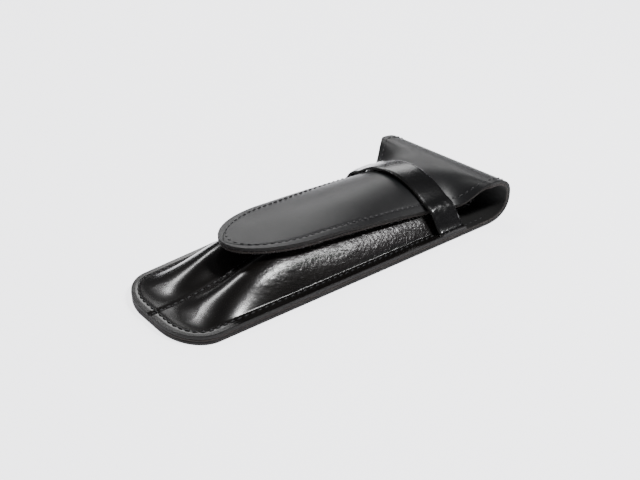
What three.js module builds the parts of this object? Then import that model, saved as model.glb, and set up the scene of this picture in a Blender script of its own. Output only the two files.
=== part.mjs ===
// A leather pouch for two fountain pens, about 165 x 67 x 24 mm. A flat back and a moulded front are sewn
// together round the sides and toe. The back runs on round a soft fold into a flap, whose long tongue comes
// forward over the front and tucks under a keeper band. Units are millimetres, +Z is up.
// Inside the group, y runs from the toe (0) to the outside of the fold (LENGTH).

import * as THREE from "three";

// Driving dimensions
const LENGTH = 165;
const TOE_WIDTH = 50;
const MOUTH_WIDTH = 67.4;
const LEATHER = 1.3; // outer leather
const LINING = 0.7; // thin leather lining of the back
const FLAP_LINING = 1.0;
const GAP = 0.3; // clearance between plies
const THREAD = 0.5;

// Toe corner, as quarter ellipses
const TOE_CORNER_X = 19;
const TOE_CORNER_Y = 13;

// Fold: half a rounded box in the YZ plane, measured on the outer surface
const FOLD_DEPTH = 14;
const FOLD_HEIGHT = 20.4;
const FOLD_Y = LENGTH - FOLD_DEPTH;
const FOLD_FULLNESS = 2.4; // 2 is an ellipse
const FOLD_JOINTS = 4;
const FOLD_STRIPS = FOLD_JOINTS - 1;

// Pocket front
const RIM_WIDTH = 4.2;
const MOUTH_Y = 137;
const RIM_TOP = LEATHER + LINING + LEATHER + 2 * GAP;
const BULGE = 13.4; // rise of the wells above the rim
const BULGE_AT_KEEPER = 10.2;
const BULGE_SIDE = 13; // from the rim to the crest
const BULGE_SIDE_AT_KEEPER = 19;
const NOSE_LENGTH = 50;
const VALLEY_WIDTH = 6;
const VALLEY_END_Y = 78;
const SEAM_END_Y = 62;

// Flap and tongue
const TONGUE_TIP_Y = 33.6;
const TONGUE_NOSE = 34;
const TONGUE_HALF = 18.5;
const KEEPER_HALF = 23.5; // half width of the tongue at the keeper
const TONGUE_TIP_Z = 21;
const TONGUE_KEEPER_Z = 21;
const CROWN_AT_TIP = 0.6;
const CROWN_AT_KEEPER = 9.3;

// Keeper band
const KEEPER_FRONT_Y = 121.8;
const KEEPER_REAR_Y = 135.2;
const KEEPER_MIDDLE_Y = (KEEPER_FRONT_Y + KEEPER_REAR_Y) / 2;
const KEEPER_LEATHER = 1.3;
const KEEPER_STITCH_SHARE = 0.47; // of the band, from its middle

const STITCH_INSET = 3;
const MESH_STEP = 0.05; // for slopes

const clamp01 = (t) => Math.min(1, Math.max(0, t));
const smooth = (t) => clamp01(t) ** 2 * (3 - 2 * clamp01(t));
const mix = (a, b, t) => a + (b - a) * t;

// Outer line of the fold, from the back up to the flap
class FoldCurve extends THREE.Curve {
  getPoint(t) {
    const angle = (t - 0.5) * Math.PI;
    const power = 2 / FOLD_FULLNESS;
    const rise = Math.sign(angle) * Math.abs(Math.sin(angle)) ** power;
    const depth = FOLD_DEPTH * Math.max(0, Math.cos(angle)) ** power;
    return new THREE.Vector2(FOLD_Y + depth, (FOLD_HEIGHT / 2) * (1 + rise));
  }
}
const foldCurve = new FoldCurve();
const jointAt = (k) => (k + 0.5) / FOLD_JOINTS; // share of the fold's length where joint k lies

// Half the width of the back at y: tapered sides and elliptical toe corners
function halfWidth(y) {
  const side = mix(TOE_WIDTH, MOUTH_WIDTH, clamp01(y / FOLD_Y)) / 2;
  const short = clamp01((TOE_CORNER_Y - y) / TOE_CORNER_Y);
  return side - TOE_CORNER_X * (1 - Math.sqrt(1 - short * short));
}

// About how far inside the pocket's edge a point is
function edgeDistance(x, y) {
  const side = halfWidth(Math.max(y, TOE_CORNER_Y)) - Math.abs(x);
  if (y > TOE_CORNER_Y && side < y) return side;
  const cornerX = TOE_CORNER_X - side;
  const cornerY = TOE_CORNER_Y - y;
  if (cornerX <= 0 || cornerY <= 0) return Math.min(side, y);
  const share = Math.hypot(cornerX / TOE_CORNER_X, cornerY / TOE_CORNER_Y);
  return Math.min(y, Math.hypot(cornerX, cornerY) * (1 / share - 1));
}

// Top of the front panel: a flat rim, and two wells that rise from the toe with a sewn valley between them
function frontHeight(x, y) {
  const pressed = smooth(y / KEEPER_FRONT_Y);
  const bulge = mix(BULGE, BULGE_AT_KEEPER, pressed);
  const bulgeSide = mix(BULGE_SIDE, BULGE_SIDE_AT_KEEPER, pressed);
  const rise = clamp01((edgeDistance(x, y) - RIM_WIDTH) / bulgeSide);
  const nose = smooth((y - RIM_WIDTH) / NOSE_LENGTH) ** 0.85;
  const valley = mix(1, 0.12, smooth(y / VALLEY_END_Y)) * Math.exp(-((x / VALLEY_WIDTH) ** 2));
  return RIM_TOP + bulge * nose * (1 - (1 - rise) ** 2.1) * (1 - valley);
}

// Underside of the back, flat and then up the first stretch of the fold
function backHeight(x, y) {
  const past = Math.max(0, y - FOLD_Y) / FOLD_DEPTH;
  return (FOLD_HEIGHT / 2) * (1 - (1 - past ** FOLD_FULLNESS) ** (1 / FOLD_FULLNESS));
}

function flapHalfWidth(y) {
  const noseEnd = TONGUE_TIP_Y + TONGUE_NOSE;
  if (y < noseEnd) {
    return TONGUE_HALF * Math.sqrt(Math.max(0, 1 - ((noseEnd - y) / TONGUE_NOSE) ** 2));
  }
  if (y < KEEPER_REAR_Y) return mix(TONGUE_HALF, KEEPER_HALF, (y - noseEnd) / (KEEPER_REAR_Y - noseEnd));
  return mix(KEEPER_HALF, MOUTH_WIDTH / 2, clamp01((y - KEEPER_REAR_Y) / (FOLD_Y - KEEPER_REAR_Y)));
}

// Top of the flap: flat at the tip, arched over the pens at the keeper, straight across at the fold
function flapHeight(x, y) {
  if (y > FOLD_Y) return FOLD_HEIGHT - backHeight(x, y);
  const along = clamp01((y - TONGUE_TIP_Y) / (KEEPER_FRONT_Y - TONGUE_TIP_Y));
  const back = smooth((y - KEEPER_REAR_Y) / (FOLD_Y - KEEPER_REAR_Y));
  const middle = mix(mix(TONGUE_TIP_Z, TONGUE_KEEPER_Z, along), FOLD_HEIGHT, back);
  const crown = mix(mix(CROWN_AT_TIP, CROWN_AT_KEEPER, along ** 1.2), 0, back);
  return middle - crown * (x / KEEPER_HALF) ** 2;
}

// A point at a depth under a height function's surface, along its normal
function under(height, x, y, depth) {
  const slopeX = (height(x + MESH_STEP, y) - height(x - MESH_STEP, y)) / (2 * MESH_STEP);
  const slopeY = (height(x, y + MESH_STEP) - height(x, y - MESH_STEP)) / (2 * MESH_STEP);
  const normal = new THREE.Vector3(-slopeX, -slopeY, 1).normalize();
  return new THREE.Vector3(x, y, height(x, y)).addScaledVector(normal, -depth);
}

// A box whose grid of columns and rows is bent by place(u from -1 to 1, row, top or bottom)
function bentSheet(columns, rows, place) {
  const last = rows.length - 1;
  const sheet = new THREE.BoxGeometry(2, 1, 1, columns, last, 1);
  const position = sheet.getAttribute("position");
  for (let i = 0; i < position.count; i++) {
    const row = rows[Math.round((position.getY(i) + 0.5) * last)];
    const point = place(position.getX(i), row, position.getZ(i) > 0);
    position.setXYZ(i, point.x, point.y, point.z);
  }
  return sheet;
}

const evenly = (from, to, steps) => Array.from({ length: steps + 1 }, (_, i) => mix(from, to, i / steps));
const toeRows = (steps) => evenly(0, Math.PI / 2, steps).map((a) => TOE_CORNER_Y * (1 - Math.cos(a)));

const materials = {
  leather: new THREE.MeshStandardMaterial({ color: 0x141416, roughness: 0.32, metalness: 0 }),
  satin: new THREE.MeshStandardMaterial({ color: 0x1c1c1f, roughness: 0.45, metalness: 0 }),
  lining: new THREE.MeshStandardMaterial({ color: 0x18171a, roughness: 0.8, metalness: 0 }),
  thread: new THREE.MeshStandardMaterial({ color: 0x0c0c0d, roughness: 0.7, metalness: 0 }),
};

const pouch = new THREE.Group();
pouch.position.y = -LENGTH / 2;

function add(name, geometry, material) {
  const mesh = new THREE.Mesh(geometry, material);
  mesh.name = name;
  pouch.add(mesh);
}

// Back panel and its lining, as far as the first fold joint
const firstJoint = foldCurve.getPointAt(jointAt(0)).x - GAP / 2;
const backRows = [...toeRows(6), ...evenly(30, FOLD_Y, 4), ...evenly(FOLD_Y, firstJoint, 3).slice(1)];
const back = (low, high) => (u, y, top) => {
  const point = under(backHeight, 0, y, top ? -high : -low);
  return new THREE.Vector3(u * halfWidth(y), point.y, point.z);
};
add("back_panel", bentSheet(8, backRows, back(0, LEATHER)), materials.satin);
const liningLow = LEATHER + GAP;
add("back_lining", bentSheet(8, backRows, back(liningLow, liningLow + LINING)), materials.lining);

// Moulded front of the pocket
const frontRows = [...toeRows(6), ...evenly(TOE_CORNER_Y, 78, 13).slice(1), ...evenly(78, MOUTH_Y, 5).slice(1)];
const front = (u, y, top) => {
  const x = u * halfWidth(y);
  return top ? new THREE.Vector3(x, y, frontHeight(x, y)) : under(frontHeight, x, y, LEATHER);
};
add("front_panel", bentSheet(32, frontRows, front), materials.leather);

// Fold, cut into strips between the joints
function foldStrip(k, low, high) {
  const trim = GAP / 2 / foldCurve.getLength();
  return bentSheet(4, evenly(jointAt(k) + trim, jointAt(k + 1) - trim, 4), (u, share, top) => {
    const point = foldCurve.getPointAt(share);
    const tangent = foldCurve.getTangentAt(share);
    const depth = top ? high : low;
    return new THREE.Vector3(
      (u * MOUTH_WIDTH) / 2, point.x - tangent.y * depth, point.y + tangent.x * depth,
    );
  });
}
for (let k = 0; k < FOLD_STRIPS; k++) {
  add(`fold_outer_${k + 1}`, foldStrip(k, 0, LEATHER), materials.satin);
  add(`fold_lining_${k + 1}`, foldStrip(k, LEATHER + GAP, LEATHER + GAP + FLAP_LINING), materials.lining);
}

// Flap with its tongue, from the tip to the last fold joint
const lastJoint = foldCurve.getPointAt(jointAt(FOLD_JOINTS - 1)).x - GAP / 2;
const noseRows = evenly(0.12, Math.PI / 2, 8).map((a) => TONGUE_TIP_Y + TONGUE_NOSE * (1 - Math.cos(a)));
const flapRows = [
  ...noseRows,
  ...evenly(noseRows[8], KEEPER_REAR_Y, 5).slice(1),
  ...evenly(KEEPER_REAR_Y, FOLD_Y, 9).slice(1),
  ...evenly(FOLD_Y, lastJoint, 2).slice(1),
];
const flap = (low, high) => (u, y, top) => {
  const point = under(flapHeight, u * flapHalfWidth(y), y, top ? low : high);
  return new THREE.Vector3(u * flapHalfWidth(y), point.y, point.z);
};
add("flap_outer", bentSheet(12, flapRows, flap(0, LEATHER)), materials.satin);
const flapLiningTop = LEATHER + 1.5 * GAP; // a little more room, as these plies slope
const flapLining = bentSheet(12, flapRows, flap(flapLiningTop, flapLiningTop + FLAP_LINING));
add("flap_lining", flapLining, materials.lining);

// Keeper band: over the tongue and down to the rim on each side, as a curve of its inner face
const loose = 1.8; // room between tongue and band
const bandHalf = [
  [33.1, RIM_TOP + GAP], [31.4, RIM_TOP + 0.7], [29.4, 6.6], [27.3, 9.8], [24.6, 12.9],
  ...[20.5, 16, 11, 5.5].map((x) => [x, flapHeight(x, KEEPER_MIDDLE_Y) + loose]),
];
const bandPoints = [
  ...bandHalf.map(([x, z]) => new THREE.Vector3(-x, 0, z)),
  new THREE.Vector3(0, 0, flapHeight(0, KEEPER_MIDDLE_Y) + loose),
  ...bandHalf.reverse().map(([x, z]) => new THREE.Vector3(x, 0, z)),
];
const bandCurve = new THREE.CatmullRomCurve3(bandPoints, false, "centripetal");
function onBand(share, y, height) {
  const point = bandCurve.getPointAt(share);
  const tangent = bandCurve.getTangentAt(share);
  const taper = halfWidth(y) / 33.1;
  return new THREE.Vector3((point.x - tangent.z * height) * taper, y, point.z + tangent.x * height);
}
const band = (u, y, top) => onBand((u + 1) / 2, y, top ? KEEPER_LEATHER : 0);
add("keeper_band", bentSheet(44, [KEEPER_FRONT_Y, KEEPER_REAR_Y], band), materials.leather);

// Threads, each a narrow ribbon lying on its seam
function ribbon(points, steps) {
  const half = THREAD / 2;
  const section = new THREE.Shape([
    new THREE.Vector2(-half, -half), new THREE.Vector2(half, -half),
    new THREE.Vector2(half, half), new THREE.Vector2(-half, half),
  ]);
  const path = new THREE.CatmullRomCurve3(points, false, "centripetal");
  return new THREE.ExtrudeGeometry(section, { steps, extrudePath: path, bevelEnabled: false });
}
const threadLift = GAP + THREAD / 2;

// Round the pocket's rim from one side of the mouth to the other, in front of the keeper band
const seamSide = (side) =>
  [KEEPER_FRONT_Y - 1.5, 90, 50, 26, 16].map(
    (y) => new THREE.Vector3(side * (halfWidth(y) - STITCH_INSET), y, RIM_TOP + threadLift),
  );
const seamCorner = (side) =>
  [0.25, 0.5, 0.75].map((turn) => {
    const angle = (turn * Math.PI) / 2;
    const x = TOE_WIDTH / 2 - TOE_CORNER_X + (TOE_CORNER_X - STITCH_INSET + 0.6) * Math.cos(angle);
    const y = TOE_CORNER_Y - (TOE_CORNER_Y - STITCH_INSET) * Math.sin(angle);
    return new THREE.Vector3(side * x, y, RIM_TOP + threadLift);
  });
const seamEnd = new THREE.Vector3(0, STITCH_INSET, RIM_TOP + threadLift);
const seamRight = [...seamSide(1), ...seamCorner(1)];
const seamLeft = [...seamSide(-1), ...seamCorner(-1)].reverse();
add("pocket_seam_thread", ribbon([...seamRight, seamEnd, ...seamLeft], 70), materials.thread);

const centrePoints = evenly(STITCH_INSET + 1.5, SEAM_END_Y, 12).map(
  (y) => new THREE.Vector3(0, y, frontHeight(0, y) + threadLift),
);
add("centre_seam_thread", ribbon(centrePoints, 30), materials.thread);

// Round the flap's edge
const flapEdge = (side) =>
  [...evenly(FOLD_Y - 1, KEEPER_REAR_Y, 6), ...evenly(118, 78, 3), 66, 56, 48, 42, 38.6].map((y) => {
    const x = side * Math.max(2, flapHalfWidth(y) - STITCH_INSET);
    return new THREE.Vector3(x, y, flapHeight(x, y) + threadLift);
  });
const flapTip = new THREE.Vector3(0, TONGUE_TIP_Y + STITCH_INSET, TONGUE_TIP_Z + threadLift);
add(
  "flap_edge_thread",
  ribbon([...flapEdge(1), flapTip, ...flapEdge(-1).reverse()], 100),
  materials.thread,
);

// On each side: the back's edge between mouth and fold, and the keeper band's end
for (const [side, word] of [[1, "right"], [-1, "left"]]) {
  const edge = [MOUTH_Y + 1, FOLD_Y].map(
    (y) => new THREE.Vector3(side * (halfWidth(y) - STITCH_INSET), y, liningLow + LINING + threadLift),
  );
  add(`back_edge_thread_${word}`, ribbon(edge, 2), materials.thread);
  const foot = [KEEPER_FRONT_Y + 1.5, KEEPER_REAR_Y - 1.5].map(
    (y) => onBand(0.5 + side * KEEPER_STITCH_SHARE, y, KEEPER_LEATHER + threadLift),
  );
  add(`keeper_thread_${word}`, ribbon(foot, 2), materials.thread);
}

const penCase = new THREE.Group();
penCase.add(pouch);
export default penCase;
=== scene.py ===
"""A black leather pouch for two fountain pens, shown on a pale floor in soft light.

Shapes are worked out in millimetres. As in the CAD part, y runs from the toe (0) to the outside of the fold
(LENGTH), and make_mesh() moves everything into the row frame in metres.
"""

import math

import bpy
import numpy as np
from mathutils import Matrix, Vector, noise


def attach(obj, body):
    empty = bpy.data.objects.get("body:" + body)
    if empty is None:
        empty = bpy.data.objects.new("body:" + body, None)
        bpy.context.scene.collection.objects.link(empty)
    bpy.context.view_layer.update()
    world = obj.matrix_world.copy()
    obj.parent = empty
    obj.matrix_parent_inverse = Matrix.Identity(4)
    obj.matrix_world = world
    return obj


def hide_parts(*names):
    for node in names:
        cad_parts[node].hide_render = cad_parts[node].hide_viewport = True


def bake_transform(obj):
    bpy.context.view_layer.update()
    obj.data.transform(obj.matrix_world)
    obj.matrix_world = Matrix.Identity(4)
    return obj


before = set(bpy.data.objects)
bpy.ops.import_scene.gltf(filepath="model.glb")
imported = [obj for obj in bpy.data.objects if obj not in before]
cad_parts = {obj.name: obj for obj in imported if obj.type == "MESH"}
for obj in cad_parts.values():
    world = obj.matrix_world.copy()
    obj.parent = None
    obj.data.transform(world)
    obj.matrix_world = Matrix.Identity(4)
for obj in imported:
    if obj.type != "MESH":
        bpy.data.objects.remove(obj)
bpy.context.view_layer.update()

# ---------------------------------------------------------------- dimensions, millimetres
LENGTH = 165.0
TOE_WIDTH = 50.0
MOUTH_WIDTH = 67.4
LEATHER = 1.3
BACK_LINING_TOP = 2.3
FOLD_LINING = 0.9
FLAP_LINING = 1.0
TOE_CORNER = (19.0, 13.0)
FOLD_DEPTH = 14.0
FOLD_HEIGHT = 20.4
FOLD_Y = LENGTH - FOLD_DEPTH
FOLD_FULLNESS = 2.4  # 2 is an ellipse
FOLD_CHAIN = ("case", "fold_1", "fold_2", "fold_3", "flap")  # one joint between each two
FOLD_JOINTS = len(FOLD_CHAIN) - 1
RIM_WIDTH = 4.2
MOUTH_Y = 137.0
RIM_TOP = 3.9
PLY_GAP = 0.12
BULGE = (13.4, 10.2)  # at the toe and at the keeper
BULGE_SIDE = (13.0, 19.0)
BULGE_FULLNESS = 2.1
NOSE_LENGTH = 50.0
NOSE_FULLNESS = 0.85
VALLEY_WIDTH = 6.0
VALLEY_SHARE = (1, 0.12)  # of the wells' height, at the toe and beyond the valley
VALLEY_END_Y = 78.0
SEAM_END_Y = 62.0
SEAM_FADE = (8, 12)  # how far past its end the seam's crease starts to fade, and over what length
SEAM_CREASE = (0.5, 0.8)  # depth and half width
TONGUE_TIP_Y = 33.6
TONGUE_NOSE = 34.0
TONGUE_HALF = 18.5
KEEPER_HALF = 23.5
TONGUE_Z = (21.0, 21.0)
CROWN = (0.6, 9.3)
CROWN_GROWTH = 1.2
KEEPER_FRONT_Y = 121.8
KEEPER_REAR_Y = 135.2
KEEPER_MIDDLE_Y = (KEEPER_FRONT_Y + KEEPER_REAR_Y) / 2
KEEPER_LEATHER = 1.3
KEEPER_FOOT = ((33.1, 4.15), (31.4, 4.6), (29.4, 6.6), (27.3, 9.8), (24.6, 12.9))  # x and z, from the rim up
KEEPER_OVER = (20.5, 16.0, 11.0, 5.5, 0.0)  # x of the points that follow the flap
KEEPER_LOOSE = 1.0
STITCH_INSET = 3.0
STITCH_PITCH = 2.9
STITCH_LENGTH = 2.3
STITCH_RADIUS = 0.33
STITCH_RINGS = 9
STITCH_SIDES = 8
STITCH_DIVE = 0.42  # how far its ends go into the leather
STITCH_SLANT = 0.1
GROOVE_HALF_WIDTH = 0.5
FRONT_GROOVE = 0.16
FLAP_GROOVE = 0.13
FIBRE_COUNT = 520
FIBRE_THICKNESS = 0.035
FIBRE_RIGHT_SHARE = 0.72  # more of them on the right side
EDGE_SPREAD = 1.15  # above 1, columns of a grid lie closer together near its edges
EDGE_LEVELS = ((0.06, 0.45), (0.2, 0.85), (0.5, 1.0), (0.8, 0.85), (0.94, 0.45))  # depth and swell
MM = 0.001

# ---------------------------------------------------------------- view and light, metres
CAMERA_AZIMUTH = 49.09
CAMERA_ELEVATION = 29.69
CAMERA_DISTANCE = 0.3278
CAMERA_TARGET = (0, 0, 0.008)
CAMERA_LENS = 44.1
CAMERA_SHIFT = (-0.0025, -0.0149)
SOFTBOXES = (  # name, place, target, size, power
    ("softbox_right", (0.44, 0.26, 0.76), (0, 0, 0), (0.14, 0.14), 6.3),
    ("softbox_right_far", (0.42, 0.5, 0.72), (0, 0.04, 0.01), (0.09, 0.09), 1.5),
    ("softbox_left", (-0.58, -0.05, 0.8), (0, -0.03, 0.01), (0.13, 0.16), 2.2),
    ("softbox_back", (-0.68, 0.58, 0.5), (0, -0.05, 0.01), (0.6, 0.3), 2.6),
)
FLOOR_SIZE = 30
FLOOR_GLOW = 2.8
AMBIENT = 0.08
BACKDROP = 3.7  # seen by the camera only


# ---------------------------------------------------------------- camera, floor and light
def aim(obj, target):
    """Point a camera or lamp at a place."""
    obj.rotation_euler = (Vector(target) - obj.location).to_track_quat("-Z", "Y").to_euler()


def add_camera():
    """The camera, close above the toe and to its right."""
    azimuth, elevation = math.radians(CAMERA_AZIMUTH), math.radians(CAMERA_ELEVATION)
    target = Vector(CAMERA_TARGET)
    back = Vector(
        (
            math.sin(azimuth) * math.cos(elevation),
            -math.cos(azimuth) * math.cos(elevation),
            math.sin(elevation),
        )
    )
    data = bpy.data.cameras.new("camera")
    data.lens = CAMERA_LENS
    data.sensor_width = 36
    data.shift_x, data.shift_y = CAMERA_SHIFT
    data.clip_start = 0.01
    camera = bpy.data.objects.new("camera", data)
    bpy.context.scene.collection.objects.link(camera)
    camera.location = target + back * CAMERA_DISTANCE
    aim(camera, target)
    bpy.context.scene.camera = camera


def add_area_light(name, location, target, size, power):
    """A rectangular soft box aimed at a place."""
    data = bpy.data.lights.new(name, "AREA")
    data.shape = "RECTANGLE"
    data.size, data.size_y = size
    data.energy = power
    lamp = bpy.data.objects.new(name, data)
    bpy.context.scene.collection.objects.link(lamp)
    lamp.location = location
    aim(lamp, target)


def add_stage():
    """A pale floor that glows slightly, soft boxes, and a backdrop that only the camera sees."""
    bpy.ops.mesh.primitive_plane_add(size=FLOOR_SIZE, location=(0, 0, 0))
    floor = bpy.context.object
    floor.name = "floor"
    material, _, shader = new_material("pale_paper")
    shader.inputs["Base Color"].default_value = (0.93, 0.93, 0.94, 1)
    shader.inputs["Roughness"].default_value = 0.75
    shader.inputs["Emission Color"].default_value = (0.96, 0.96, 1, 1)
    shader.inputs["Emission Strength"].default_value = FLOOR_GLOW
    floor.data.materials.append(material)
    world = bpy.data.worlds.new("studio")
    world.use_nodes = True
    tree = world.node_tree
    tree.nodes["Background"].inputs["Color"].default_value = (0.95, 0.96, 1, 1)
    tree.nodes["Background"].inputs["Strength"].default_value = AMBIENT
    backdrop = node(tree, "ShaderNodeBackground", Color=(0.96, 0.96, 1, 1), Strength=BACKDROP)
    seen = node(tree, "ShaderNodeLightPath").outputs["Is Camera Ray"]
    ambient = tree.nodes["Background"]
    both = node(tree, "ShaderNodeMixShader", {0: seen, 1: ambient.outputs[0], 2: backdrop.outputs[0]})
    tree.links.new(both.outputs[0], tree.nodes["World Output"].inputs["Surface"])
    bpy.context.scene.world = world
    for softbox in SOFTBOXES:
        add_area_light(*softbox)


# ---------------------------------------------------------------- shape functions
def mix(a, b, t):
    """From a to b as t goes from 0 to 1."""
    return a + (b - a) * t


def smooth(t):
    """An eased step from 0 to 1."""
    t = np.clip(t, 0, 1)
    return t * t * (3 - 2 * t)


def half_width(y):
    """Half the width of the back: tapered sides and elliptical toe corners."""
    side = mix(TOE_WIDTH, MOUTH_WIDTH, np.clip(y / FOLD_Y, 0, 1)) / 2
    short = np.clip((TOE_CORNER[1] - y) / TOE_CORNER[1], 0, 1)
    return side - TOE_CORNER[0] * (1 - np.sqrt(1 - short * short))


def edge_distance(x, y):
    """How far a point is inside the edge of the back and front."""
    side = half_width(np.maximum(y, TOE_CORNER[1])) - np.abs(x)
    corner_x = TOE_CORNER[0] - side
    corner_y = TOE_CORNER[1] - y
    share = np.hypot(corner_x / TOE_CORNER[0], corner_y / TOE_CORNER[1])
    corner = np.minimum(y, np.hypot(corner_x, corner_y) * (1 / np.maximum(share, 1e-6) - 1))
    in_corner = (corner_x > 0) & (corner_y > 0)
    return np.where(in_corner, corner, np.minimum(side, y))


def front_height(x, y):
    """Top of the front panel: flat rim, two wells and the sewn valley between them."""
    pressed = smooth(y / KEEPER_FRONT_Y)
    inside = edge_distance(x, y) - RIM_WIDTH
    rise = np.clip(inside / mix(*BULGE_SIDE, pressed), 0, 1)
    nose = smooth((y - RIM_WIDTH) / NOSE_LENGTH) ** NOSE_FULLNESS
    valley = mix(*VALLEY_SHARE, smooth(y / VALLEY_END_Y)) * np.exp(-((x / VALLEY_WIDTH) ** 2))
    fade = smooth((SEAM_END_Y + SEAM_FADE[0] - y) / SEAM_FADE[1])
    seam = SEAM_CREASE[0] * np.exp(-((x / SEAM_CREASE[1]) ** 2)) * fade
    well = nose * (1 - (1 - rise) ** BULGE_FULLNESS)
    return RIM_TOP + mix(*BULGE, pressed) * well * (1 - valley) - seam


def back_height(y):
    """Underside of the fold above the floor, where it curves up."""
    past = np.clip((y - FOLD_Y) / FOLD_DEPTH, 0, 1)
    return FOLD_HEIGHT / 2 * (1 - (1 - past**FOLD_FULLNESS) ** (1 / FOLD_FULLNESS))


def flap_half_width(y):
    """Half the width of the flap: elliptical tongue tip, widening to the keeper and flaring to the fold."""
    nose_end = TONGUE_TIP_Y + TONGUE_NOSE
    nose = TONGUE_HALF * np.sqrt(np.clip(1 - (np.clip(nose_end - y, 0, None) / TONGUE_NOSE) ** 2, 0, 1))
    tongue = mix(TONGUE_HALF, KEEPER_HALF, (y - nose_end) / (KEEPER_REAR_Y - nose_end))
    flare = mix(KEEPER_HALF, MOUTH_WIDTH / 2, np.clip((y - KEEPER_REAR_Y) / (FOLD_Y - KEEPER_REAR_Y), 0, 1))
    return np.where(y < nose_end, nose, np.where(y < KEEPER_REAR_Y, tongue, flare))


def flap_height(x, y):
    """Top of the flap: flat at the tip, arched at the keeper, straight across at the fold."""
    along = np.clip((y - TONGUE_TIP_Y) / (KEEPER_FRONT_Y - TONGUE_TIP_Y), 0, 1)
    back = smooth((y - KEEPER_REAR_Y) / (FOLD_Y - KEEPER_REAR_Y))
    middle = mix(mix(*TONGUE_Z, along), FOLD_HEIGHT, back)
    crown = mix(mix(*CROWN, along**CROWN_GROWTH), 0, back)
    return middle - crown * (x / KEEPER_HALF) ** 2 - np.where(y > FOLD_Y, back_height(y), 0)


def fold_point(share):
    """Point on the fold's outer surface, and its direction, at a share of its length."""
    angles = np.linspace(-math.pi / 2, math.pi / 2, 1441)
    power = 2 / FOLD_FULLNESS
    ys = FOLD_Y + FOLD_DEPTH * np.maximum(np.cos(angles), 0) ** power
    zs = FOLD_HEIGHT / 2 * (1 + np.sign(angles) * np.abs(np.sin(angles)) ** power)
    run = np.concatenate([[0], np.cumsum(np.hypot(np.diff(ys), np.diff(zs)))])
    at = np.asarray(share) * run[-1]
    point = np.stack([np.interp(at, run, ys), np.interp(at, run, zs)], -1)
    before, after = np.clip(at - 0.25, 0, None), np.clip(at + 0.25, None, run[-1])
    along = np.stack([np.interp(after, run, line) - np.interp(before, run, line) for line in (ys, zs)], -1)
    return point, along / np.linalg.norm(along, axis=-1, keepdims=True)


def wavy(points, scale, seed):
    """Smooth noise between about -1 and 1 at each point."""
    shift = Vector((seed * 13.7, seed * 7.1, seed * 3.3))
    flat = points.reshape(-1, 3) / scale
    values = [noise.noise(Vector(p) + shift) for p in flat.tolist()]
    return np.array(values).reshape(points.shape[:-1])


# ---------------------------------------------------------------- mesh helpers
def make_mesh(name, vertices, faces, materials, face_materials=None):
    """A smooth-shaded mesh from points in millimetres, moved into the row frame."""
    points = np.asarray(vertices, float).reshape(-1, 3) * MM
    points[:, 1] -= LENGTH / 2 * MM
    mesh = bpy.data.meshes.new(name)
    mesh.from_pydata(points.tolist(), [], [list(f) for f in faces])
    for material in materials:
        mesh.materials.append(material)
    if face_materials is not None:
        mesh.polygons.foreach_set("material_index", np.asarray(face_materials, np.int32))
    mesh.polygons.foreach_set("use_smooth", [True] * len(mesh.polygons))
    mesh.update()
    obj = bpy.data.objects.new(name, mesh)
    bpy.context.scene.collection.objects.link(obj)
    return obj


def loop_index(rows, columns):
    """Grid indices round the border, counter-clockwise seen from the top."""
    first = [(0, j) for j in range(columns)]
    right = [(i, columns - 1) for i in range(1, rows)]
    last = [(rows - 1, j) for j in range(columns - 2, -1, -1)]
    left = [(i, 0) for i in range(rows - 2, 0, -1)]
    return first + right + last + left


def sheet(name, top, bottom, materials, bulge=0.18, roughen=0.05, seed=1, open_ends=()):
    """A closed sheet of leather between two grids of points (rows, columns, 3), with rounded cut edges.

    materials are for the top and the cut edge, with a third for the underside where it differs. open_ends
    names the rows ("first", "last") that meet a neighbour and stay square.
    """
    rows, columns = top.shape[:2]
    grid = np.arange(rows * columns).reshape(rows, columns)
    a, b = grid[:-1, :-1].ravel(), grid[:-1, 1:].ravel()
    c, d = grid[1:, 1:].ravel(), grid[1:, :-1].ravel()
    count = rows * columns
    faces = np.concatenate([np.stack([a, b, c, d], -1), np.stack([d, c, b, a], -1) + count])
    kinds = [0] * len(a) + [len(materials) - 1 if len(materials) > 2 else 0] * len(a)
    loop = loop_index(rows, columns)
    rim_top = np.array([top[i, j] for i, j in loop])
    rim_bottom = np.array([bottom[i, j] for i, j in loop])
    step = 2 if rows > 5 and columns > 5 else 1
    inner = np.array(
        [top[min(max(i, step), rows - 1 - step), min(max(j, step), columns - 1 - step)] for i, j in loop]
    )
    tangent = np.roll(rim_top, -1, 0) - np.roll(rim_top, 1, 0)
    thick = rim_top - rim_bottom
    outward = np.cross(tangent, thick)
    outward /= np.linalg.norm(outward, axis=1, keepdims=True) + 1e-9
    outward *= np.sign(np.sum(outward * (rim_top - inner), 1, keepdims=True) + 1e-9)
    for index, (i, j) in enumerate(loop):
        if ("first" in open_ends and i == 0) or ("last" in open_ends and i == rows - 1):
            outward[index] = 0
    wall = []
    for level, amount in EDGE_LEVELS:
        ring = mix(rim_top, rim_bottom, level)
        rough = wavy(ring + level * 3, 1.1, seed) * roughen
        wall.append(ring + outward * (bulge * amount + rough[:, None]))
    vertices = np.concatenate([top.reshape(-1, 3), bottom.reshape(-1, 3)] + wall)
    size = len(loop)
    top_ring = np.array([grid[i, j] for i, j in loop])
    rings = [top_ring] + [2 * count + k * size + np.arange(size) for k in range(len(EDGE_LEVELS))]
    rings.append(top_ring + count)
    walls = []
    for upper, lower in zip(rings[:-1], rings[1:]):
        walls.append(np.stack([upper, lower, np.roll(lower, -1), np.roll(upper, -1)], -1))
    walls = np.concatenate(walls)
    piece = make_mesh(name, vertices, np.concatenate([faces, walls]), materials, kinds + [1] * len(walls))
    ends = [0] * ("first" in open_ends) + [rows - 1] * ("last" in open_ends)
    mark_sharp(piece, [set(grid[row].tolist()) | set((grid[row] + count).tolist()) for row in ends])
    return piece


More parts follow.
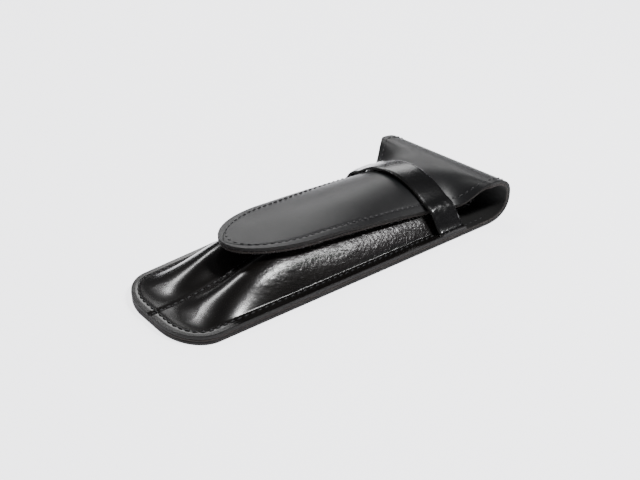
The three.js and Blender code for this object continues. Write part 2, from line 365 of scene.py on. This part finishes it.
def mark_sharp(piece, vertex_sets):
    """Shade the edges within each set of vertices sharp, where a sheet is cut square to meet the next."""
    mesh = piece.data
    if not vertex_sets:
        return
    sharp = [any(e.vertices[0] in s and e.vertices[1] in s for s in vertex_sets) for e in mesh.edges]
    attribute = mesh.attributes.new("sharp_edge", "BOOLEAN", "EDGE")
    attribute.data.foreach_set("value", sharp)


def normals_of(points):
    """Unit normals of a grid of points, pointing up for rows along +y and columns along +x."""
    along = np.gradient(points, axis=0)
    across = np.gradient(points, axis=1)
    normal = np.cross(across, along)
    return normal / (np.linalg.norm(normal, axis=-1, keepdims=True) + 1e-12)


def eased(from_y, to_y, count):
    """Rows that lie closer together at the start."""
    return mix(from_y, to_y, 1 - np.cos(np.linspace(0, 1, count) * math.pi / 2))


def spread(columns):
    """Places from -1 to 1, closer together near both ends."""
    u = np.linspace(-1, 1, columns)
    return np.sign(u) * (1 - (1 - np.abs(u)) ** EDGE_SPREAD)


def run_along(line):
    """Distance along a line of points, at each point."""
    return np.concatenate([[0], np.cumsum(np.linalg.norm(np.diff(line, axis=0), axis=1))])


def upright(count):
    """That many normals that point straight up."""
    return np.tile([0.0, 0.0, 1.0], (count, 1))


def grid_of(ys, columns, half, height, inset=0.0):
    """A grid over rows ys, across +-half(y), at height(x, y)."""
    y = np.repeat(ys[:, None], columns, 1)
    x = spread(columns)[None, :] * np.maximum(half(ys) - inset, 0.05)[:, None]
    return np.stack([x, y, height(x, y)], -1)


# ---------------------------------------------------------------- materials
def node(tree, kind, links=None, **settings):
    """A new shader node, with socket values or properties set and its inputs linked."""
    made = tree.nodes.new(kind)
    for key, value in settings.items():
        if key in made.inputs:
            made.inputs[key].default_value = value
        else:
            setattr(made, key, value)
    for socket, source in (links or {}).items():
        tree.links.new(source, made.inputs[socket])
    return made


def new_material(name):
    """A material with its node tree and its main shader."""
    material = bpy.data.materials.new(name)
    material.use_nodes = True
    tree = material.node_tree
    return material, tree, tree.nodes["Principled BSDF"]


def leather(name, colours, roughness, grain, crinkle, coat=0.0, crinkle_scale=420.0, smooth_toe=None):
    """Leather with a fine cell grain and wider crinkles.

    grain is (cells per metre, depth in mm) and crinkle is the crinkles' depth in mm. smooth_toe gives two
    places along y, in metres, between which the crinkles set in.
    """
    material, tree, shader = new_material(name)
    where = node(tree, "ShaderNodeTexCoord").outputs["Object"]
    cells = node(tree, "ShaderNodeTexVoronoi", {"Vector": where}, feature="DISTANCE_TO_EDGE", Scale=grain[0])
    cells_soft = node(tree, "ShaderNodeMath", {0: cells.outputs["Distance"]}, operation="POWER")
    cells_soft.inputs[1].default_value = 0.45
    patches = node(tree, "ShaderNodeTexNoise", {"Vector": where}, Scale=60.0, Detail=5.0, Roughness=0.6)
    crinkles = node(tree, "ShaderNodeTexNoise", {"Vector": where}, Scale=crinkle_scale, Detail=2.5)
    crinkles.inputs["Roughness"].default_value = 0.55
    crinkles.inputs["Distortion"].default_value = 0.8
    height = crinkles.outputs["Fac"]
    if smooth_toe:
        place = node(tree, "ShaderNodeSeparateXYZ", {"Vector": where}).outputs["Y"]
        fade = node(tree, "ShaderNodeMapRange", {"Value": place})
        fade.inputs["From Min"].default_value, fade.inputs["From Max"].default_value = smooth_toe
        product = node(tree, "ShaderNodeMath", {0: height, 1: fade.outputs["Result"]}, operation="MULTIPLY")
        height = product.outputs[0]
    ramp = node(tree, "ShaderNodeMix", {"Factor": patches.outputs["Fac"]}, data_type="RGBA")
    ramp.inputs[6].default_value = (*colours[0], 1)
    ramp.inputs[7].default_value = (*colours[1], 1)
    tree.links.new(ramp.outputs[2], shader.inputs["Base Color"])
    rough = node(tree, "ShaderNodeMapRange", {"Value": patches.outputs["Fac"]})
    rough.inputs["To Min"].default_value = roughness[0]
    rough.inputs["To Max"].default_value = roughness[1]
    tree.links.new(rough.outputs["Result"], shader.inputs["Roughness"])
    bump = node(tree, "ShaderNodeBump", {"Height": cells_soft.outputs["Value"]}, Strength=1.0)
    bump.inputs["Distance"].default_value = grain[1] * MM
    wide = node(tree, "ShaderNodeBump", {"Height": height, "Normal": bump.outputs["Normal"]}, Strength=1.0)
    wide.inputs["Distance"].default_value = crinkle * MM
    tree.links.new(wide.outputs["Normal"], shader.inputs["Normal"])
    shader.inputs["IOR"].default_value = 1.5
    shader.inputs["Coat Weight"].default_value = coat
    shader.inputs["Coat Roughness"].default_value = 0.2
    return material


def cut_edge(name, dark, brown):
    """Raw cut edge of leather: fibrous, with thin lines along the ply."""
    material, tree, shader = new_material(name)
    where = node(tree, "ShaderNodeTexCoord").outputs["Object"]
    stretch = node(tree, "ShaderNodeMapping", {"Vector": where})
    stretch.inputs["Scale"].default_value = (1, 1, 6)
    stretched = stretch.outputs["Vector"]
    fibres = node(tree, "ShaderNodeTexNoise", {"Vector": stretched}, Scale=900.0, Detail=6.0)
    ramp = node(tree, "ShaderNodeValToRGB", {"Fac": fibres.outputs["Fac"]})
    ramp.color_ramp.elements[0].position = 0.35
    ramp.color_ramp.elements[0].color = (*dark, 1)
    ramp.color_ramp.elements[1].position = 0.72
    ramp.color_ramp.elements[1].color = (*brown, 1)
    bump = node(tree, "ShaderNodeBump", {"Height": fibres.outputs["Fac"]}, Strength=1.0)
    bump.inputs["Distance"].default_value = 0.0004
    tree.links.new(ramp.outputs["Color"], shader.inputs["Base Color"])
    tree.links.new(bump.outputs["Normal"], shader.inputs["Normal"])
    shader.inputs["Roughness"].default_value = 0.72
    shader.inputs["Specular IOR Level"].default_value = 0.25
    return material


def thread_material(name, dark, light):
    """Waxed thread or loose fibre, with fine streaks."""
    material, tree, shader = new_material(name)
    where = node(tree, "ShaderNodeTexCoord").outputs["Object"]
    fibres = node(tree, "ShaderNodeTexNoise", {"Vector": where}, Scale=3000.0, Detail=3.0)
    ramp = node(tree, "ShaderNodeValToRGB", {"Fac": fibres.outputs["Fac"]})
    ramp.color_ramp.elements[0].color = (*dark, 1)
    ramp.color_ramp.elements[1].color = (*light, 1)
    tree.links.new(ramp.outputs["Color"], shader.inputs["Base Color"])
    shader.inputs["Roughness"].default_value = 0.5
    return material


# ---------------------------------------------------------------- stitches
def stitch(centre, along, up, length):
    """One stitch: a twisted strand that dives into the leather at both ends."""
    sides = STITCH_SIDES
    side = np.cross(along, up)
    points = []
    for s in np.linspace(-1, 1, STITCH_RINGS):
        radius = STITCH_RADIUS * math.sqrt(max(0.02, 1 - abs(s) ** 3.5))
        middle = centre + along * (s * length / 2) - up * (STITCH_DIVE * s * s)
        for k in range(sides):
            angle = 2 * math.pi * k / sides
            strand = 1 + 0.14 * math.cos(2 * angle + 5 * s)
            points.append(middle + (side * math.cos(angle) + up * math.sin(angle)) * radius * strand)
    faces = []
    for r in range(STITCH_RINGS - 1):
        for k in range(sides):
            k2 = (k + 1) % sides
            faces.append([r * sides + k, r * sides + k2, (r + 1) * sides + k2, (r + 1) * sides + k])
    faces.append(list(range(sides))[::-1])
    faces.append([(STITCH_RINGS - 1) * sides + k for k in range(sides)])
    return points, faces


def stitch_line(name, line, ups, slant, seed):
    """Stitches along a dense line of points, with the surface normal at each point."""
    line, ups = np.asarray(line, float), np.asarray(ups, float)
    run = run_along(line)
    count = max(1, int(run[-1] / STITCH_PITCH))
    pitch = run[-1] / count
    rng = np.random.default_rng(seed)
    vertices, faces = [], []
    for k in range(count):
        s = (k + 0.5) * pitch
        centre = np.array([np.interp(s, run, line[:, a]) for a in range(3)])
        ahead = np.array([np.interp(min(s + 0.5, run[-1]), run, line[:, a]) for a in range(3)])
        behind = np.array([np.interp(max(s - 0.5, 0), run, line[:, a]) for a in range(3)])
        up = np.array([np.interp(s, run, ups[:, a]) for a in range(3)])
        up /= np.linalg.norm(up)
        along = ahead - behind
        along -= up * (along @ up)
        along /= np.linalg.norm(along)
        turn = slant + rng.normal(0, 0.03)
        along = along * math.cos(turn) + np.cross(up, along) * math.sin(turn)
        points, new_faces = stitch(centre + up * 0.12, along, up, STITCH_LENGTH * rng.uniform(0.95, 1.04))
        start = len(vertices)
        vertices += points
        faces += [[i + start for i in f] for f in new_faces]
    return make_mesh(name, vertices, faces, [THREAD])


def surface_line(xs, ys, height):
    """Points and normals along a line on a height function."""
    step = 0.05
    z = height(xs, ys)
    slope_x = (height(xs + step, ys) - height(xs - step, ys)) / (2 * step)
    slope_y = (height(xs, ys + step) - height(xs, ys - step)) / (2 * step)
    up = np.stack([-slope_x, -slope_y, np.ones_like(xs)], -1)
    up /= np.linalg.norm(up, axis=1, keepdims=True)
    return np.stack([xs, ys, z], -1), up


def rim_path(inset, from_y):
    """Line round the sides and toe, that far inside the edge, from one side of the mouth to the other."""
    ys = np.linspace(from_y, TOE_CORNER[1], 60)
    right = np.stack([half_width(ys) - inset, ys], -1)
    angles = np.linspace(0, math.pi / 2, 40)[1:]
    corner_x = TOE_WIDTH / 2 + (MOUTH_WIDTH - TOE_WIDTH) / 2 * TOE_CORNER[1] / FOLD_Y
    corner = np.stack(
        [
            corner_x - TOE_CORNER[0] + (TOE_CORNER[0] - inset) * np.cos(angles),
            TOE_CORNER[1] - (TOE_CORNER[1] - inset) * np.sin(angles),
        ],
        -1,
    )
    half = np.concatenate([right, corner])
    other = half[::-1] * np.array([-1, 1])
    return np.concatenate([half, other[1:]])


# ---------------------------------------------------------------- the pouch
GLOSS = leather(
    "moulded_leather",
    colours=((0.004, 0.0037, 0.0036), (0.008, 0.0066, 0.0058)),
    roughness=(0.19, 0.28),
    grain=(1500, 0.012),
    crinkle=0.14,
    coat=0.2,
    crinkle_scale=560.0,
    smooth_toe=(-0.056, -0.036),
)
SATIN = leather(
    "flap_leather",
    colours=((0.005, 0.005, 0.0055), (0.009, 0.009, 0.010)),
    roughness=(0.36, 0.46),
    grain=(1900, 0.018),
    crinkle=0.03,
)
BACK = leather(
    "back_leather",
    colours=((0.005, 0.005, 0.0055), (0.009, 0.009, 0.0095)),
    roughness=(0.38, 0.48),
    grain=(1900, 0.02),
    crinkle=0.05,
)
BAND = leather(
    "keeper_leather",
    colours=((0.003, 0.003, 0.003), (0.006, 0.006, 0.0065)),
    roughness=(0.2, 0.28),
    grain=(1700, 0.012),
    crinkle=0.06,
    coat=0.2,
)
SUEDE = leather(
    "lining_leather",
    colours=((0.004, 0.004, 0.004), (0.009, 0.0085, 0.008)),
    roughness=(0.8, 0.92),
    grain=(2600, 0.05),
    crinkle=0.06,
)
EDGE = cut_edge("cut_edge", (0.003, 0.003, 0.003), (0.014, 0.012, 0.011))
EDGE_BROWN = cut_edge("cut_edge_brown", (0.004, 0.0035, 0.0035), (0.03, 0.022, 0.018))
THREAD = thread_material("waxed_thread", (0.005, 0.005, 0.006), (0.028, 0.028, 0.03))
FIBRE = thread_material("leather_fibre", (0.03, 0.03, 0.032), (0.12, 0.12, 0.125))

TOE_YS = eased(0, TOE_CORNER[1], 26)


def build_back():
    """The flat back and its lining, up to the start of the fold."""
    ys = np.concatenate([TOE_YS, np.linspace(TOE_CORNER[1], FOLD_Y, 110)[1:]])

    def layer(name, low, high, materials, seed, inset, slot, nodes):
        top = grid_of(ys, 61, half_width, lambda x, y: 0 * x + high, inset)
        bottom = grid_of(ys, 61, half_width, lambda x, y: 0 * x + low, inset)
        if low == 0:
            bottom[..., 2] += np.abs(wavy(bottom, 9, seed) * 0.04)
        piece = sheet(name, top, bottom, materials, 0.12, 0.07, seed, ("last",))
        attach(piece, "case")
        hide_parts(*nodes)

    layer("back_leather", 0, LEATHER, [BACK, EDGE], 1, 0.0, "back_leather", ["back_panel"])
    low = LEATHER + PLY_GAP
    lining = [SUEDE, EDGE_BROWN]
    layer("back_lining_leather", low, BACK_LINING_TOP, lining, 2, 0.15, "lining_leather", ["back_lining"])


def build_front():
    """The moulded front with its two wells, one ply with a rough inside."""
    ys = np.concatenate([TOE_YS, np.linspace(TOE_CORNER[1], MOUTH_Y, 230)[1:]])
    top = grid_of(ys, 201, half_width, front_height, 0.05)
    up = normals_of(top)
    inside = edge_distance(top[..., 0], top[..., 1])
    groove = FRONT_GROOVE * np.exp(-(((inside - STITCH_INSET) / GROOVE_HALF_WIDTH) ** 2))
    # crinkles on the wells' sides, away from the toe, over soft dents everywhere inside the rim
    wall = np.exp(-(((inside - 9) / 4.0) ** 2)) * smooth((top[..., 1] - 20) / 30)
    ripple = wavy(top * np.array([1, 0.55, 1]), 5.5, 5) * 0.05 * wall
    ripple += wavy(top * np.array([1, 1.6, 1]), 1.5, 6) * 0.06 * wall
    dents = wavy(top, 13, 7) * 0.22 * smooth((inside - 6) / 4)
    top = top + up * (ripple + dents - groove)[..., None]
    bottom = top - up * (LEATHER + 0.1)
    # the underside follows the top, but lies flat on the lining all round the rim
    floor_z = BACK_LINING_TOP + PLY_GAP
    bottom[..., 2] = np.maximum(bottom[..., 2], floor_z)
    rim = inside < RIM_WIDTH
    bottom[..., :2] = np.where(rim[..., None], top[..., :2], bottom[..., :2])
    bottom[..., 2] = np.where(rim, floor_z, bottom[..., 2])
    piece = sheet("front_leather", top, bottom, [GLOSS, EDGE, SUEDE], 0.14, 0.07, 3)
    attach(piece, "case")
    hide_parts("front_panel")


def fold_layer(name, k, low, high, materials, nodes, inset=0.0):
    """One quarter of the fold, from the middle of one strip to the middle of the next, spanning joint k."""
    shares = np.linspace(k / FOLD_JOINTS, (k + 1) / FOLD_JOINTS, 17)
    point, along = fold_point(shares)
    inward = np.stack([-along[:, 1], along[:, 0]], -1)
    x = spread(61) * (MOUTH_WIDTH / 2 - inset)

    def at(depth):
        p = point + inward * depth
        grid = np.zeros((len(shares), len(x), 3))
        grid[..., 0] = x[None, :]
        grid[..., 1] = p[:, None, 0]
        grid[..., 2] = p[:, None, 1]
        return grid

    piece = sheet(name, at(high), at(low), materials, 0.12, 0.05, 20 + k, ("first", "last"))
    blend_fold(piece)
    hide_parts(*nodes)


def blend_fold(piece):
    """Bake a piece's transform into its mesh; it stays fixed and does not bend at any joint."""
    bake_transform(piece)


def build_fold():
    """Four quarters stand for the three strips of each ply, so the last quarter replaces none."""
    low = LEATHER + PLY_GAP
    high = low + FOLD_LINING
    for k in range(FOLD_JOINTS):
        strip = k + 1
        outer = [f"fold_outer_{strip}"] if strip < FOLD_JOINTS else []
        inner = [f"fold_lining_{strip}"] if strip < FOLD_JOINTS else []
        skin = [BACK if k < 2 else SATIN, EDGE]
        lining = [SUEDE, EDGE_BROWN]
        fold_layer(f"fold_leather_{strip}", k, 0, LEATHER, skin, outer)
        fold_layer(f"fold_lining_leather_{strip}", k, low, high, lining, inner, 0.15)
        shares = np.linspace(k / FOLD_JOINTS, (k + 1) / FOLD_JOINTS, 24)
        point, along = fold_point(shares)
        out = np.stack([along[:, 1], -along[:, 0]], -1)
        for side, word in ((1, "right"), (-1, "left")):
            x = np.full(len(shares), side * (MOUTH_WIDTH / 2 - STITCH_INSET))
            line = np.stack([x, point[:, 0], point[:, 1]], -1)
            up = np.stack([0 * x, out[:, 0], out[:, 1]], -1)
            piece = stitch_line(f"fold_stitches_{word}_{strip}", line, up, STITCH_SLANT * side, 40 + k)
            blend_fold(piece)


def build_flap():
    """The flap with its tongue, in two plies, up to the end of the fold."""
    nose = eased(TONGUE_TIP_Y, TONGUE_TIP_Y + TONGUE_NOSE, 60)
    nose[0] += 0.02
    ys = np.concatenate(
        [nose, np.linspace(nose[-1], KEEPER_REAR_Y, 90)[1:], np.linspace(KEEPER_REAR_Y, FOLD_Y, 26)[1:]]
    )

    def layer(name, depth_top, depth_bottom, materials, seed, inset, slot, nodes, groove_depth=0.0):
        top = grid_of(ys, 91, flap_half_width, flap_height, inset)
        _, up = surface_line(top[..., 0].ravel(), top[..., 1].ravel(), flap_height)
        up = up.reshape(top.shape)
        edge = flap_half_width(ys)[:, None] - np.abs(top[..., 0])
        groove = groove_depth * np.exp(-(((edge - STITCH_INSET) / GROOVE_HALF_WIDTH) ** 2))
        ease = smooth((FOLD_Y - top[..., 1]) / 14)
        swell = wavy(top * np.array([1, 0.5, 1]), 16, seed) * 0.25 * ease
        surface = top + up * (swell - groove * ease - depth_top)[..., None]
        under = top + up * (swell - depth_bottom)[..., None]
        surface[..., :2] = top[..., :2]
        under[..., :2] = top[..., :2]
        piece = sheet(name, surface, under, materials, 0.15, 0.08, seed, ("last",))
        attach(piece, "flap")
        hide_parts(*nodes)

    layer("flap_leather_top", 0, LEATHER, [SATIN, EDGE], 11, 0, "flap_leather", ["flap_outer"], FLAP_GROOVE)
    low = LEATHER + PLY_GAP
    high = low + FLAP_LINING
    lining = [SUEDE, EDGE_BROWN, SUEDE]
    layer("flap_lining_leather", low, high, lining, 12, 0.12, "lining_leather", ["flap_lining"])


def flap_path():
    """Line inside the flap's edge, from the fold round the tip and back."""
    ys = np.linspace(FOLD_Y, TONGUE_TIP_Y + TONGUE_NOSE, 80)
    right = np.stack([flap_half_width(ys) - STITCH_INSET, ys], -1)
    angles = np.linspace(0, math.pi / 2, 50)[1:]
    tip = np.stack(
        [
            (TONGUE_HALF - STITCH_INSET) * np.cos(angles),
            TONGUE_TIP_Y + TONGUE_NOSE - (TONGUE_NOSE - STITCH_INSET) * np.sin(angles),
        ],
        -1,
    )
    half = np.concatenate([right, tip])
    return np.concatenate([half, (half[::-1] * np.array([-1, 1]))[1:]])


def build_fuzz():
    """Loose fibres that stand out of the cut edge of the flap."""
    rng = np.random.default_rng(77)
    vertices, faces = [], []
    for _ in range(FIBRE_COUNT):
        y = rng.uniform(TONGUE_TIP_Y + 1.5, FOLD_Y - 6)
        side = 1 if rng.random() < FIBRE_RIGHT_SHARE else -1
        x = side * (float(flap_half_width(np.array(y))) + 0.1)
        z = float(flap_height(np.array(abs(x)), np.array(y))) - rng.uniform(1.0, 2.4)
        root = np.array([x, y, z])
        lean = np.array([side * rng.uniform(0.3, 1), rng.normal(0, 0.8), rng.uniform(-0.7, 0.5)])
        lean /= np.linalg.norm(lean)
        length = rng.uniform(0.25, 0.85)
        width = np.cross(lean, [0, 0, 1.0])
        width *= FIBRE_THICKNESS / (np.linalg.norm(width) + 1e-6)
        across = np.cross(lean, width)
        across *= FIBRE_THICKNESS / (np.linalg.norm(across) + 1e-6)
        middle = root + lean * length * 0.55 + np.array([0, 0, -0.06])
        tip = root + lean * length + np.array([0, rng.normal(0, 0.15), -0.2 * length])
        start = len(vertices)
        for point, size in ((root, 1.0), (middle, 0.8)):
            for a, b in ((1, 0), (-0.5, 0.87), (-0.5, -0.87)):
                vertices.append(point + (width * a + across * b) * size)
        vertices.append(tip)
        for k in range(3):
            k2 = (k + 1) % 3
            faces.append([start + k, start + k2, start + 3 + k2, start + 3 + k])
            faces.append([start + 3 + k, start + 3 + k2, start + 6])
        faces.append([start + 2, start + 1, start])
    piece = make_mesh("flap_edge_fibres", vertices, faces, [FIBRE])
    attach(piece, "flap")


def band_curve(count):
    """Inner face of the keeper band as a smooth line across the pouch."""
    middle_y = np.array(KEEPER_MIDDLE_Y)
    over = [(x, float(flap_height(np.array(x), middle_y)) + KEEPER_LOOSE) for x in KEEPER_OVER]
    half = list(KEEPER_FOOT) + over
    knots = [(-x, z) for x, z in half] + half[-2::-1]
    points = []
    for i in range(len(knots) - 1):
        p = [np.array(knots[min(max(i + s, 0), len(knots) - 1)], float) for s in (-1, 0, 1, 2)]
        for t in np.linspace(0, 1, 24, endpoint=False):
            points.append(
                0.5
                * (
                    2 * p[1]
                    + (p[2] - p[0]) * t
                    + (2 * p[0] - 5 * p[1] + 4 * p[2] - p[3]) * t**2
                    + (3 * p[1] - p[0] - 3 * p[2] + p[3]) * t**3
                )
            )
    points.append(np.array(knots[-1], float))
    points = np.array(points)
    run = run_along(points)
    at = np.linspace(0, run[-1], count)
    line = np.stack([np.interp(at, run, points[:, a]) for a in (0, 1)], -1)
    tangent = np.gradient(line, axis=0)
    tangent /= np.linalg.norm(tangent, axis=1, keepdims=True)
    return line, np.stack([-tangent[:, 1], tangent[:, 0]], -1)


def build_keeper():
    """The band across the flap, sewn down at both ends."""
    line, out = band_curve(221)
    ys = np.linspace(KEEPER_FRONT_Y, KEEPER_REAR_Y, 31)
    lean = half_width(ys) / half_width(KEEPER_MIDDLE_Y)

    def at(depth):
        p = line + out * depth
        grid = np.zeros((len(ys), len(line), 3))
        grid[..., 0] = p[None, :, 0] * lean[:, None]
        grid[..., 1] = ys[:, None]
        grid[..., 2] = p[None, :, 1]
        return grid

    inner, outer = at(0), at(KEEPER_LEATHER)
    push = np.zeros_like(outer)
    push[..., 0] = out[None, :, 0]
    push[..., 2] = out[None, :, 1]
    # creases where the band bends down at each side, pressed edges and a slightly domed middle
    bend = np.exp(-(((np.abs(line[:, 0]) - 25.5) / 3.0) ** 2))[None, :]
    ripple = wavy(outer * np.array([1, 0.8, 1]), 2.2, 31) * 0.2 * bend + wavy(outer, 9, 32) * 0.08
    edge = np.minimum(outer[..., 1] - KEEPER_FRONT_Y, KEEPER_REAR_Y - outer[..., 1])
    ripple -= 0.25 * np.exp(-((edge / 0.5) ** 2))
    half_band = (KEEPER_REAR_Y - KEEPER_FRONT_Y) / 2
    ripple += 0.2 * (1 - ((outer[..., 1] - KEEPER_FRONT_Y) / half_band - 1) ** 2) - 0.2
    outer = outer + push * ripple[..., None]
    piece = sheet("keeper_leather_band", outer, inner, [BAND, EDGE], 0.15, 0.06, 33)
    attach(piece, "case")
    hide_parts("keeper_band")
    for side, word in ((1, "right"), (-1, "left")):
        y = np.linspace(KEEPER_FRONT_Y + 0.8, KEEPER_REAR_Y - 0.8, 20)
        place = 6 if side < 0 else len(line) - 7
        at_foot = line[place] + out[place] * KEEPER_LEATHER
        foot_x = at_foot[0] * half_width(y) / half_width(KEEPER_MIDDLE_Y)
        foot = np.stack([foot_x, y, np.full(len(y), at_foot[1])], -1)
        up = np.tile([out[place][0], 0.0, out[place][1]], (len(y), 1))
        piece = stitch_line(f"keeper_stitches_{word}", foot, up, STITCH_SLANT * side, 50)
        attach(piece, "case")
        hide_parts(f"keeper_thread_{word}")


def build_stitches():
    """The seams of the rim, top and underside, the toe's centre, the flap and the back behind the mouth."""
    path = rim_path(STITCH_INSET, KEEPER_FRONT_Y - 1)
    rim = np.column_stack([path, np.full(len(path), RIM_TOP - 0.1)])
    piece = stitch_line("rim_stitches", rim, upright(len(rim)), STITCH_SLANT, 60)
    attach(piece, "case")
    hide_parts("pocket_seam_thread")

    path = rim_path(STITCH_INSET, FOLD_Y)
    under = np.column_stack([path, np.full(len(path), 0.12)])
    piece = stitch_line("rim_stitches_under", under, -upright(len(under)), STITCH_SLANT, 61)
    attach(piece, "case")

    ys = np.linspace(0.6, SEAM_END_Y, 80)
    line, ups = surface_line(0 * ys, ys, front_height)
    piece = stitch_line("centre_stitches", line, ups, STITCH_SLANT / 2, 62)
    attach(piece, "case")
    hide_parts("centre_seam_thread")

    path = flap_path()
    line, ups = surface_line(path[:, 0], path[:, 1], flap_height)
    line[:, 2] -= 0.08
    piece = stitch_line("flap_stitches", line, ups, STITCH_SLANT, 63)
    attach(piece, "flap")
    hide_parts("flap_edge_thread")

    for side, word in ((1, "right"), (-1, "left")):
        ys = np.linspace(KEEPER_REAR_Y + 1, FOLD_Y, 30)
        x = side * (half_width(ys) - STITCH_INSET)
        line = np.stack([x, ys, np.where(ys < MOUTH_Y, RIM_TOP, BACK_LINING_TOP)], -1)
        piece = stitch_line(f"back_edge_stitches_{word}", line, upright(len(line)), STITCH_SLANT, 64)
        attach(piece, "case")
        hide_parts(f"back_edge_thread_{word}")


add_camera()
add_stage()
build_back()
build_front()
build_fold()
build_flap()
build_fuzz()
build_keeper()
build_stitches()

bpy.context.view_layer.update()
